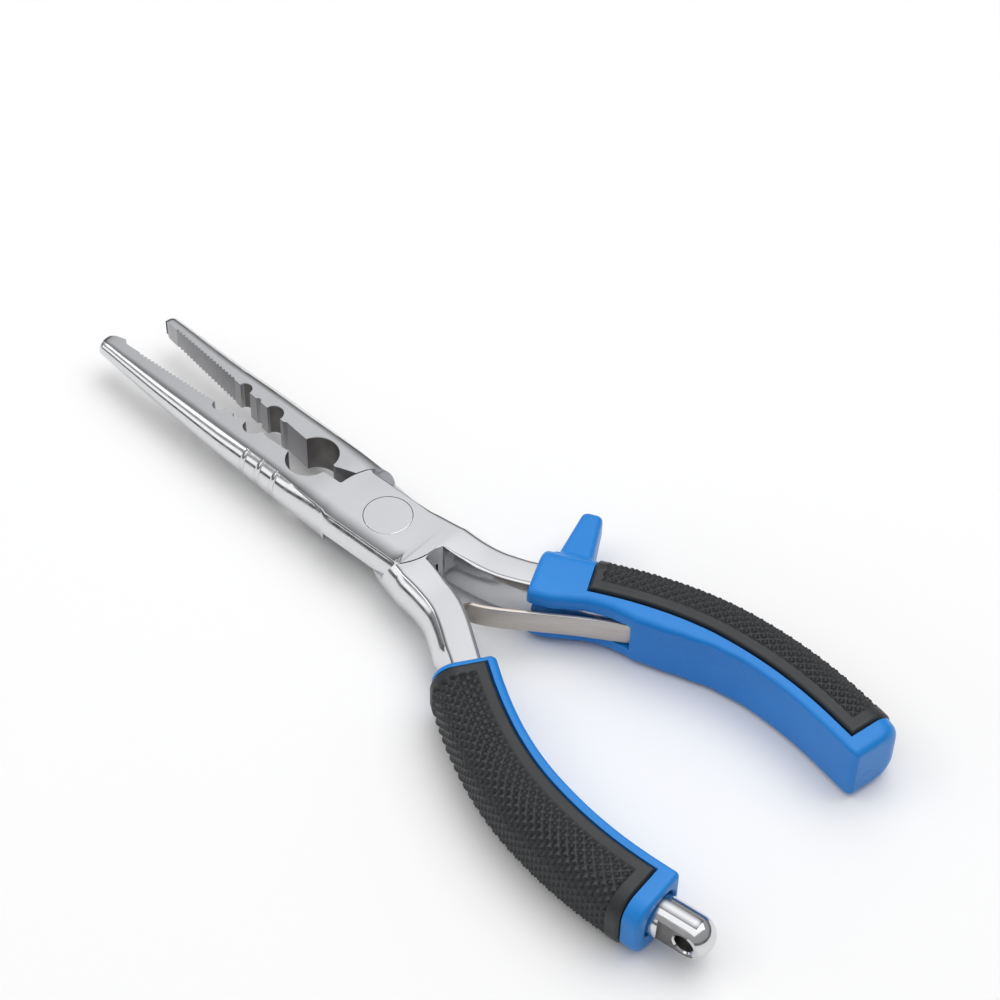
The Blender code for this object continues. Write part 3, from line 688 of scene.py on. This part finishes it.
def stud_tools():
    """The lanyard stud, its milled flat and its cross hole with chamfered mouths."""
    rings, path = stud_rings()
    tools = [("UNION", to_object("tool", loft(rings)[0], "b"))]
    place, heading = path_at(path, path[-1][2] - STUD_R - 0.4)
    ahead = Vector((math.cos(heading), math.sin(heading)))
    across = Vector((-ahead.y, ahead.x))
    corners = [place - ahead * 6.0 + across * STUD_FLAT, place + ahead * 9.0 + across * STUD_FLAT,
               place + ahead * 9.0 + across * 7.0, place - ahead * 4.5 + across * 7.0]
    flat = prism([(c.x, c.y) for c in corners], -STUD_R - 1.0, STUD_R + 1.0)
    tools.append(("DIFFERENCE", to_object("tool", flat, "b")))
    rings = []
    for reach, radius in ((-STUD_R - 1.0, STUD_HOLE_R + 1.7), (-STUD_R + 0.7, STUD_HOLE_R),
                          (STUD_FLAT - 0.35, STUD_HOLE_R), (STUD_FLAT + 1.0, STUD_HOLE_R + 1.35)):
        ring = []
        for u, z in circle(0.0, 0.0, radius, 48):
            spot = place + across * reach + ahead * u
            ring.append(Vector((spot.x, spot.y, z)))
        rings.append(ring)
    tools.append(("DIFFERENCE", to_object("tool", loft(rings)[0], "b")))
    return tools


def paint_flats(item):
    """The satin top and bottom, with their rolled shoulders; the rest is plated."""
    for face in item.data.polygons:
        face.material_index = SATIN if abs(face.normal.z) > SATIN_UP else PLATED


def in_stud_hole(place, hole, heading):
    """Whether a place in lever B's frame is on the wall of the cross hole."""
    ahead = (place.x - hole.x) * math.cos(heading) + (place.y - hole.y) * math.sin(heading)
    near = math.hypot(ahead, place.z) < STUD_HOLE_R + 0.1 and (place.xy - hole).length < STUD_R - 0.4
    return near and place.x > STUD_PATH[0][0] - 4.0


def machined_surface(tag, place):
    """GROUND, SHADED_WALL or None for a face at a place in its lever's frame that doesn't look up or down."""
    flank = -jaw_width(tag, place.x) if place.x < 0.0 else -FLANK_OUT
    if place.x < -13.0:
        if place.y <= flank + 0.15:
            return None
        # deep faces between the holes get the painted shade material
        return SHADED_WALL if HOLES_FROM < place.x < HOLES_TO and place.y < -0.85 else GROUND
    inside = place.xy.length < CHEEK_R - 0.3 and flank + 0.3 < place.y < FLANK_IN - 0.4
    return GROUND if inside else None


def paint_machined(item, tag):
    """Inner faces and the joint's inside are ground, the walls of the holes get painted shade."""
    to_lever = lever_matrix(tag).inverted()
    path = smooth_path(STUD_PATH, 48)
    hole, heading = path_at(path, path[-1][2] - STUD_R - 0.4)
    for face in item.data.polygons:
        place = to_lever @ face.center
        if tag == "b" and in_stud_hole(place, hole, heading):
            # the stud's cross hole gets painted shade too
            face.material_index = SHADED_WALL
        if abs(face.normal.z) > GROUND_UP or place.x > LAP_CUT_R + 0.1:
            continue
        surface = machined_surface(tag, place)
        if surface is not None:
            face.material_index = surface


def make_lever(tag, *steels):
    """One lever: the whole bar, with its holes, notches and rivet seat cut, in four finishes."""
    lever = to_object("lever_" + tag + "_steel", loft(lever_rings(tag))[0], tag)
    tools = stud_tools() if tag == "b" else []
    carve(lever, tools + jaw_tools(tag))
    finish_mesh(lever, 28.0, *steels)
    paint_flats(lever)
    paint_machined(lever, tag)
    stand_for(lever, BODY[tag], "lever_" + tag)


def make_rivet(satin, polished):
    """Two flush heads with a broken edge, on the shank."""
    inner = HALF_THICK - RIVET_HEAD_T
    top = [(RIVET_SHANK_R, 0.0), (RIVET_SHANK_R, inner), (RIVET_R, inner), (RIVET_R, HALF_THICK - 0.08),
           (RIVET_R - 0.03, HALF_THICK - 0.03), (RIVET_R - 0.1, HALF_THICK), (0.4, HALF_THICK)]
    profile = [(r, -z) for r, z in reversed(top)] + top[1:]
    rivet = to_object("pivot_rivet_flush", turned(profile), "a")
    finish_mesh(rivet, 12.0, polished, satin)
    paint_flats(rivet)
    stand_for(rivet, BODY["a"], "pivot_rivet")


# ---------------------------------------------------------------- spring

def make_spring(surface):
    """The leaf with its rolled eye. It bends from the first lever towards its free end."""
    path = smooth_path(SPRING_PATH, 90)
    half_t = SPRING_T / 2
    rings = []
    for place, heading, distance in path:
        left = path[-1][2] - distance
        half = SPRING_HALF - 1.2 * (1 - smoothstep(left / 2.0))
        edge = [(-half_t, -half, 0.2), (half_t, -half, 0.2), (half_t, half, 0.2), (-half_t, half, 0.2)]
        spot = Vector(SPRING_PIN) + place
        rings.append(place_ring(filleted(edge, 3), spot, heading))
    spring = to_object("leaf_spring_strip", loft(rings)[0], "a")
    eye = [(1.6, -SPRING_HALF + 0.2), (1.6, SPRING_HALF - 0.2)]
    rings = [[Vector((x, y, z)) for x, y in circle(*SPRING_PIN, r, 40)] for r, z in
             [(1.4, -SPRING_HALF)] + eye + [(1.4, SPRING_HALF)]]
    hole = prism(circle(*SPRING_PIN, 1.0, 32), -SPRING_HALF - 1.0, SPRING_HALF + 1.0)
    carve(spring, [("UNION", to_object("tool", loft(rings)[0], "a")),
                   ("DIFFERENCE", to_object("tool", hole, "a"))])
    finish_mesh(spring, 35.0, surface)
    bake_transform(spring)
    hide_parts("leaf_spring")


# ---------------------------------------------------------------- grips

def inner_reach(tag, distance):
    """How far the grip reaches inward. The first one swells behind its collar."""
    if tag == "b":
        return GRIP_INNER
    for (s0, v0), (s1, v1) in zip(SWELL, SWELL[1:]):
        if distance <= s1:
            return GRIP_INNER + lerp(v0, v1, smoothstep((distance - s0) / (s1 - s0)))
    return GRIP_INNER


def grip_section(tag, reach, sunk, top_in, low_in, high_in, edge):
    """Ring of the hard sleeve. sunk lowers what the pad covers, the others pull the sides in."""
    high = GRIP_OUTER[tag] - sunk - high_in
    pad_edge = PAD_EDGE[tag]
    low = -reach + low_in
    top = GRIP_HALF - top_in
    deep = top - sunk
    radius = min(4.6, 0.45 * (high + pad_edge))
    ring = arc(high - radius, deep - radius, radius, 0, 10)
    ring += [(-pad_edge, deep), (-pad_edge - 0.2, top)]
    ring += arc(low + edge, top - edge, edge, 90, 6)
    ring += arc(low + edge, -top + edge, edge, 180, 6)
    ring += [(-pad_edge - 0.2, -top), (-pad_edge, -deep)]
    ring += arc(high - radius, -deep + radius, radius, 270, 10)
    return ring


def bore_section(reach, half, edge, offset):
    """Ring of the bore that the tang or the stud goes into."""
    ring = arc(reach - edge, half - edge, edge, 0, 10) + [(0.4, half), (-0.4, half)]
    ring += arc(-reach + edge, half - edge, edge, 90, 6) + arc(-reach + edge, -half + edge, edge, 180, 6)
    ring += [(-0.4, -half), (0.4, -half)] + arc(reach - edge, -half + edge, edge, 270, 10)
    return [(u + offset, z) for u, z in ring]


def stations_between(start, end, spacing):
    """Evenly spaced values, with both ends, no further apart than the spacing."""
    count = max(1, math.ceil((end - start) / spacing))
    return [lerp(start, end, i / count) for i in range(count + 1)]


def sleeve_plan(tag):
    """(distance, sunk, pull-in) along a sleeve, with rounded ends."""
    start, end = COLLAR_START[tag], SLEEVE_END[tag]
    seat = PAD_THICK - PAD_PROUD + 0.2
    front, rear = PAD_START[tag] - 0.25, PAD_END[tag] + 0.25
    mouth = ((0.0, 1.0), (0.12, 0.62), (0.38, 0.3), (0.8, 0.08), (1.2, 0.0))
    plan = [(start + d, 0.0, p) for d, p in mouth]
    if front - 0.5 > start + 2.0:
        plan += [(s, 0.0, 0.0) for s in stations_between(start + 2.0, front - 0.5, 1.0)]
    plan += [(front, 0.0, 0.0), (front + 0.02, seat, 0.0)]
    plan += [(s, seat, 0.0) for s in stations_between(front + 0.6, rear - 0.6, 1.2)]
    plan += [(rear - 0.02, seat, 0.0), (rear, 0.0, 0.0)]
    size = END_ROUND[tag]
    for i in range(8):
        angle = math.radians(90.0 * i / 7)
        plan.append((end - size + size * math.sin(angle), 0.0, size * (1 - math.cos(angle))))
    return plan


def end_corner(tag, distance):
    """How far the outer side comes in over the rounded corner of grip A's closed end."""
    left = SLEEVE_END[tag] - distance
    if tag == "b" or left >= END_CORNER:
        return 0.0
    return END_CORNER_SHARE * END_CORNER * (1 - math.sqrt(1 - (1 - left / END_CORNER) ** 2))


def sleeve_rings(tag, path):
    rings = []
    for distance, sunk, pull in sleeve_plan(tag):
        place, heading = path_at(path, distance)
        along = smoothstep((distance - 20.0) / 30.0)
        edge = max(0.25, lerp(1.6, 0.9, along) - 0.3 * pull)
        ring = grip_section(tag, inner_reach(tag, distance), sunk, pull, pull * 0.6,
                            pull + end_corner(tag, distance), edge)
        rings.append(place_ring(ring, place, heading))
    return rings


def crossing_offset(line, place, heading):
    """Where a centre line crosses a cross-section of the grip."""
    ahead = Vector((math.cos(heading), math.sin(heading)))
    across = Vector((-ahead.y, ahead.x))
    for (a, _, _), (b, _, _) in zip(line, line[1:]):
        low, high = (a - place).dot(ahead), (b - place).dot(ahead)
        if low <= 0.0 <= high:
            return (a.lerp(b, low / (low - high)) - place).dot(across)
    ends = [line[0][0], line[-1][0]]
    return (min(ends, key=lambda p: abs((p - place).dot(ahead))) - place).dot(across)


def bore_rings(tag, path):
    """The tang's channel: blind on A, wider at the end for the stud on B."""
    tang = smooth_path(TANG_PATH, 60)
    start = COLLAR_START[tag]
    blind_end = PAD_END["a"] - 4.0
    stud_start = PAD_START["b"] + 60.0
    rings = []
    first = [(start, 0.35), (start + 0.4, 0.0)]
    narrow_end = blind_end if tag == "a" else stud_start - 0.5
    rest = [(s, 0.0) for s in stations_between(start + 4.0, narrow_end, 3.0)]
    for distance, flare in first + rest:
        place, heading = path_at(path, distance)
        offset = crossing_offset(tang, place, heading)
        ring = bore_section(TANG_WIDTH / 2 + 0.35 + flare, TANG_HALF + 0.35 + flare, 1.1, offset)
        rings.append(place_ring(ring, place, heading))
    if tag == "b":
        stud = smooth_path(STUD_PATH, 48)
        end = SLEEVE_END["b"]
        last = [(s, 0.0) for s in stations_between(stud_start, end - 0.5, 2.0)] + [(end, 0.4)]
        for distance, flare in last:
            place, heading = path_at(path, distance)
            offset = crossing_offset(stud, place, heading)
            ring = bore_section(STUD_R + 0.3 + flare, STUD_R + 0.35 + flare, 4.0, offset)
            rings.append(place_ring(ring, place, heading))
    return rings


def spike_rings():
    """The thumb spike, flared where it leaves the collar and rounded at its tip."""
    base, tip = Vector(SPIKE_BASE), Vector(SPIKE_TIP)
    ahead = (tip - base).normalized()
    heading = math.atan2(ahead.y, ahead.x)
    length = (tip - base).length
    round_tip = 1.9
    spots = [-1.4, -0.6, 0.0] + [0.35 * i for i in range(1, 8)]
    spots += stations_between(3.0, length - round_tip, 1.5)
    plan = [(distance, 0.0) for distance in spots]
    for i in range(1, 8):
        angle = math.radians(86.0 * i / 7)
        plan.append((length - round_tip + round_tip * math.sin(angle), round_tip * (1 - math.cos(angle))))
    rings = []
    for distance, pull in plan:
        t = max(0.0, distance / length)
        fillet = 1.3 * (1 - smoothstep((distance + 0.6) / 2.6)) ** 2
        width = lerp(8.0, 4.6, t) / 2 - pull + fillet
        half = lerp(4.6, 3.0, t) - pull + fillet
        edge = min(1.5, width * 0.6)
        corners = [(width, -half, edge), (width, half, edge), (-width, half, edge), (-width, -half, edge)]
        rings.append(place_ring(filleted(corners, 6), base + ahead * distance, heading))
    return rings


def join_rows(bm, row, other):
    """A strip of quads between two rings of the same count."""
    for i in range(len(row)):
        j = (i + 1) % len(row)
        bm.faces.new((row[i], row[j], other[j], other[i]))


def make_sleeve(tag, surface):
    """A hollow hard sleeve. The first has the spike and the slot for the spring."""
    path = smooth_path(GRIP_PATH, GRIP_STEPS)
    bm, out_rows = loft(sleeve_rings(tag, path), caps=(False, tag == "a"))
    inside = [[bm.verts.new(p) for p in ring] for ring in bore_rings(tag, path)]
    for row, after in zip(inside, inside[1:]):
        join_rows(bm, row, after)
    join_rows(bm, out_rows[0], inside[0])
    if tag == "a":
        bm.faces.new(inside[-1])
    else:
        join_rows(bm, out_rows[-1], inside[-1])
    sleeve = to_object("grip_" + tag + "_shell", bm, tag)
    if tag == "a":
        spike = loft(spike_rings())[0]
        slot = prism(SPRING_SLOT, -SLOT_HALF, SLOT_HALF)
        carve(sleeve, [("UNION", to_object("tool", spike, tag)),
                       ("DIFFERENCE", to_object("tool", slot, tag))])
    finish_mesh(sleeve, 38.0, surface)
    stand_for(sleeve, BODY[tag], "grip_" + tag + "_sleeve")


def pad_contour(tag):
    """(across, up, out direction, distance) round the pad's outside, from its upper free edge."""
    high = GRIP_OUTER[tag] + PAD_PROUD
    deep = GRIP_HALF + PAD_PROUD
    radius = PAD_CORNER
    edge = -PAD_EDGE[tag] + 0.25
    flat = high - radius - edge
    curve = radius * math.pi / 2
    upright = 2 * (deep - radius)
    total = 2 * flat + 2 * curve + upright
    count = round(total / (KNURL_PERIOD / KNURL_SAMPLES))
    out = []
    for i in range(count + 1):
        t = total * i / count
        if t < flat:
            out.append((edge + t, deep, 90.0, t))
        elif t < flat + curve:
            angle = 90.0 - 90.0 * (t - flat) / curve
            out.append((*arc(high - radius, deep - radius, radius, angle, 1, 0.0)[0], angle, t))
        elif t < flat + curve + upright:
            out.append((high, deep - radius - (t - flat - curve), 0.0, t))
        elif t < flat + 2 * curve + upright:
            angle = -90.0 * (t - flat - curve - upright) / curve
            out.append((*arc(high - radius, -deep + radius, radius, angle, 1, 0.0)[0], angle, t))
        else:
            out.append((edge + total - t, -deep, -90.0, t))
    return out, total


def pad_height(s, t, length, total):
    """How far the pad's surface stands over its nominal level at a place along and around."""
    to_long = min(t, total - t)
    inside = min(to_long - BORDER_LONG, s - BORDER_FRONT, length - s - BORDER_REAR)
    rounding = min(1.0, max(0.0, min(to_long, s, length - s) / 0.7))
    border = -0.7 * (1 - math.sqrt(1 - (1 - rounding) ** 2))
    if inside <= 0.0:
        return border + BORDER_LEVEL
    centre = (t - total / 2) / KNURL_PERIOD
    along = s / KNURL_PERIOD
    p = abs((along + centre) % 1.0 - 0.5) * 2
    q = abs((along - centre) % 1.0 - 0.5) * 2
    bump = min(1.0, 1.2 * min(1 - p, 1 - q))
    level = KNURL_FLOOR + KNURL_HEIGHT * bump
    return lerp(BORDER_LEVEL, level, smoothstep(inside / 0.35))


def make_pad(tag, surface):
    """The knurled pad, a C-shaped skin on the sleeve's outer side."""
    path = smooth_path(GRIP_PATH, GRIP_STEPS)
    contour, total = pad_contour(tag)
    length = PAD_END[tag] - PAD_START[tag]
    count = round(length / (KNURL_PERIOD / KNURL_SAMPLES))
    rings = []
    for i in range(count + 1):
        s = length * i / count
        place, heading = path_at(path, PAD_START[tag] + s)
        ring = []
        for u, z, angle, t in contour:
            lift = pad_height(s, t, length, total)
            out = math.radians(angle)
            ring.append((u + lift * math.cos(out), z + lift * math.sin(out)))
        for u, z, angle, t in reversed(contour[::6]):
            out = math.radians(angle)
            ring.append((u - PAD_THICK * math.cos(out), z - PAD_THICK * math.sin(out)))
        rings.append(place_ring(ring, place, heading))
    pad = to_object("grip_" + tag + "_knurled_pad", loft(rings)[0], tag)
    finish_mesh(pad, 60.0, surface)
    stand_for(pad, BODY[tag], "grip_" + tag + "_pad")


# ---------------------------------------------------------------- stage

def make_stage():
    """A pale floor under the lowest point."""
    low = min(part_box(node)[0].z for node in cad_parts)
    mesh = bpy.data.meshes.new("floor")
    bm = bmesh.new()
    bmesh.ops.create_grid(bm, x_segments=1, y_segments=1, size=4.0)
    bm.to_mesh(mesh)
    bm.free()
    floor = bpy.data.objects.new("floor", mesh)
    floor.location = (0.0, 0.0, low)
    bpy.context.scene.collection.objects.link(floor)
    made, _, _ = new_material("pale_floor", (0.88, 0.88, 0.88), 0.9, 0.0)
    mesh.materials.append(made)


def area_light(name, azimuth, elevation, distance, size, power):
    """A soft panel that faces the pliers. Azimuth 0 is at -Y and 90 at +X."""
    lamp = bpy.data.lights.new(name, "AREA")
    lamp.shape = "RECTANGLE"
    lamp.size, lamp.size_y = size
    lamp.energy = power
    item = bpy.data.objects.new(name, lamp)
    a, e = math.radians(azimuth), math.radians(elevation)
    away = Vector((math.sin(a) * math.cos(e), -math.cos(a) * math.cos(e), math.sin(e)))
    item.location = away * distance
    item.rotation_euler = away.to_track_quat("Z", "Y").to_euler()
    bpy.context.scene.collection.objects.link(item)


def make_world():
    """A dim even room, darker at the horizon, for the polished steel to mirror between the lights."""
    world = bpy.data.worlds.new("room")
    world.use_nodes = True
    tree = world.node_tree
    place = tree.nodes.new("ShaderNodeTexCoord")
    split = tree.nodes.new("ShaderNodeSeparateXYZ")
    ramp = tree.nodes.new("ShaderNodeValToRGB")
    tree.links.new(place.outputs["Generated"], split.inputs["Vector"])
    tree.links.new(split.outputs["Z"], ramp.inputs["Fac"])
    elements = ramp.color_ramp.elements
    while len(elements) < len(ROOM):
        elements.new(0.5)
    for element, (position, level) in zip(elements, ROOM):
        element.position = position
        element.color = (level, level, level * 1.01, 1.0)
    tree.links.new(ramp.outputs["Color"], tree.nodes["Background"].inputs["Color"])
    tree.nodes["Background"].inputs["Strength"].default_value = 1.0
    bpy.context.scene.world = world


def make_camera():
    """Looks at the pivot from the viewing angle, with a slight roll."""
    azimuth, elevation, roll = (math.radians(v) for v in (VIEW_AZIMUTH, VIEW_ELEVATION, VIEW_ROLL))
    pivot = Vector((0.0, 0.0, 2 * HALF_THICK * MM))
    right = Vector((math.cos(azimuth), math.sin(azimuth), 0.0))
    back = Vector((math.sin(azimuth) * math.cos(elevation), -math.cos(azimuth) * math.cos(elevation),
                   math.sin(elevation)))
    up = back.cross(right)
    level_right, level_up = right, up
    right = level_right * math.cos(roll) + level_up * math.sin(roll)
    up = level_up * math.cos(roll) - level_right * math.sin(roll)
    offset = Vector(FRAMING) / FOCAL
    data = bpy.data.cameras.new("camera")
    data.sensor_width = 36.0
    data.lens = data.sensor_width * FOCAL
    data.clip_start = 0.01
    camera = bpy.data.objects.new("camera", data)
    turn = Matrix((right, up, back)).transposed().to_4x4()
    turn.translation = pivot - (right * offset.x + up * offset.y - back) * VIEW_DISTANCE
    camera.matrix_world = turn
    bpy.context.scene.collection.objects.link(camera)
    bpy.context.scene.camera = camera


def main():
    satin = satin_steel()
    polished = polished_steel()
    # the hole walls' material is painted shade
    machined = ground_steel()
    walls = hole_steel_painted_shade()
    spring = spring_steel()
    plastic = blue_plastic()
    rubber = black_rubber()
    for tag in ("a", "b"):
        make_lever(tag, polished, satin, machined, walls)
        make_sleeve(tag, plastic)
        make_pad(tag, rubber)
    make_rivet(satin, polished)
    make_spring(spring)
    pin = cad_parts["spring_pin"]
    pin.data.materials.clear()
    pin.data.materials.append(spring)
    make_stage()
    make_world()
    for light in LIGHTS:
        area_light(*light)
    make_camera()
    bpy.context.scene.view_settings.view_transform = "Standard"


main()
